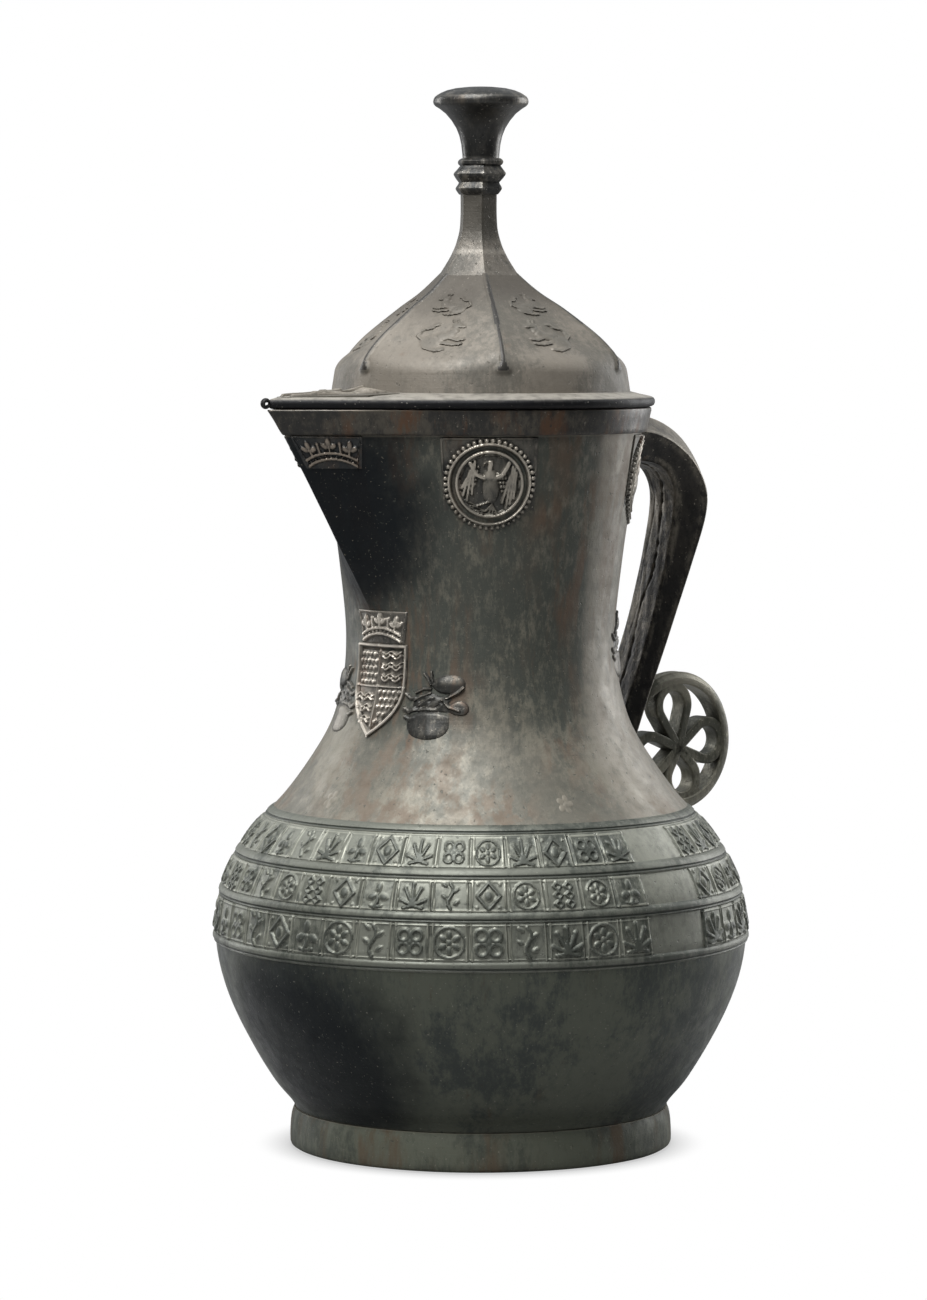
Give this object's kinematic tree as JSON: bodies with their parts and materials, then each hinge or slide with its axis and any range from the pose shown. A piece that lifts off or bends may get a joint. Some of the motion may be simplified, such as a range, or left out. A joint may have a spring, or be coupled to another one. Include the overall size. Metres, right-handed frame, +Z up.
{
  "type": "lidded ewer",
  "caption": "Cast brass ewer: round belly on a low foot, keeled pouring spout, strap handle with a pierced roundel, and a loose ribbed lid with a tall finial.",
  "frame": {"origin": "on the body's axis at the underside, where the ewer stands", "axes": "+Z up, the spout's keel towards -X, the handle towards +X, the sides to -Y and +Y"},
  "size_m": [0.355, 0.318, 0.623],
  "materials": {
    "neck_brass": "aged cast brass, satin, grey-green patina with rust-brown streaks",
    "rim_brass": "dark brown film on the rim's collar, fine scratches",
    "belly_brass": "dark patinated cast brass, satin, fine turning lines",
    "foot_brass": "dark green-grey patina, worn and reddish-brown at the foot's edge",
    "band_brass": "grey-green cast brass, bright worn raised edges, dark in the hollows",
    "spout_brass": "nearly black patina on the spout's facets",
    "handle_brass": "dark cast brass with a rough casting seam, worn edges",
    "relief_brass": "cast relief, worn high points over dark ground",
    "lid_brass": "warm grey-brown cast brass, matt to satin, pitted",
    "flange_brass": "nearly black rolled edge, paler scrollwork on top",
    "finial_brass": "dark cast brass with bright rubbed arrises"
  },
  "bodies": {
    "body": {"foot_ring": "foot_brass", "base_plate": "foot_brass", "belly_shell": "belly_brass", "fillet_1": "band_brass", "fillet_2": "band_brass", "fillet_3": "band_brass", "fillet_4": "band_brass", "band_lower_front": "band_brass", "band_lower_rear": "band_brass", "band_middle_front": "band_brass", "band_middle_rear": "band_brass", "band_upper_front": "band_brass", "band_upper_rear": "band_brass", "neck_shell": "neck_brass", "spout": "spout_brass", "rim_collar": "rim_brass", "handle": "handle_brass", "handle_roundel": "handle_brass", "medallion_front_left": "relief_brass", "medallion_rear_left": "relief_brass", "badge_front_left": "relief_brass", "badge_rear_left": "relief_brass", "spout_crown_left": "spout_brass", "medallion_front_right": "relief_brass", "medallion_rear_right": "relief_brass", "badge_front_right": "relief_brass", "badge_rear_right": "relief_brass", "spout_crown_right": "spout_brass", "shield_plaque": "relief_brass", "shield_crown": "relief_brass"},
    "lid": {"lid_flange": "flange_brass", "lid_dome": "lid_brass", "lid_seat_ring": "lid_brass", "lid_stem": "finial_brass", "stem_knop": "finial_brass", "finial_button": "finial_brass", "tongue_bead": "flange_brass"}
  },
  "joints": [
    {"name": "lid_lift", "type": "slide", "parent": "body", "child": "lid", "axis": [0, 0, 1], "range_m": [0, 0.25]}
  ]
}
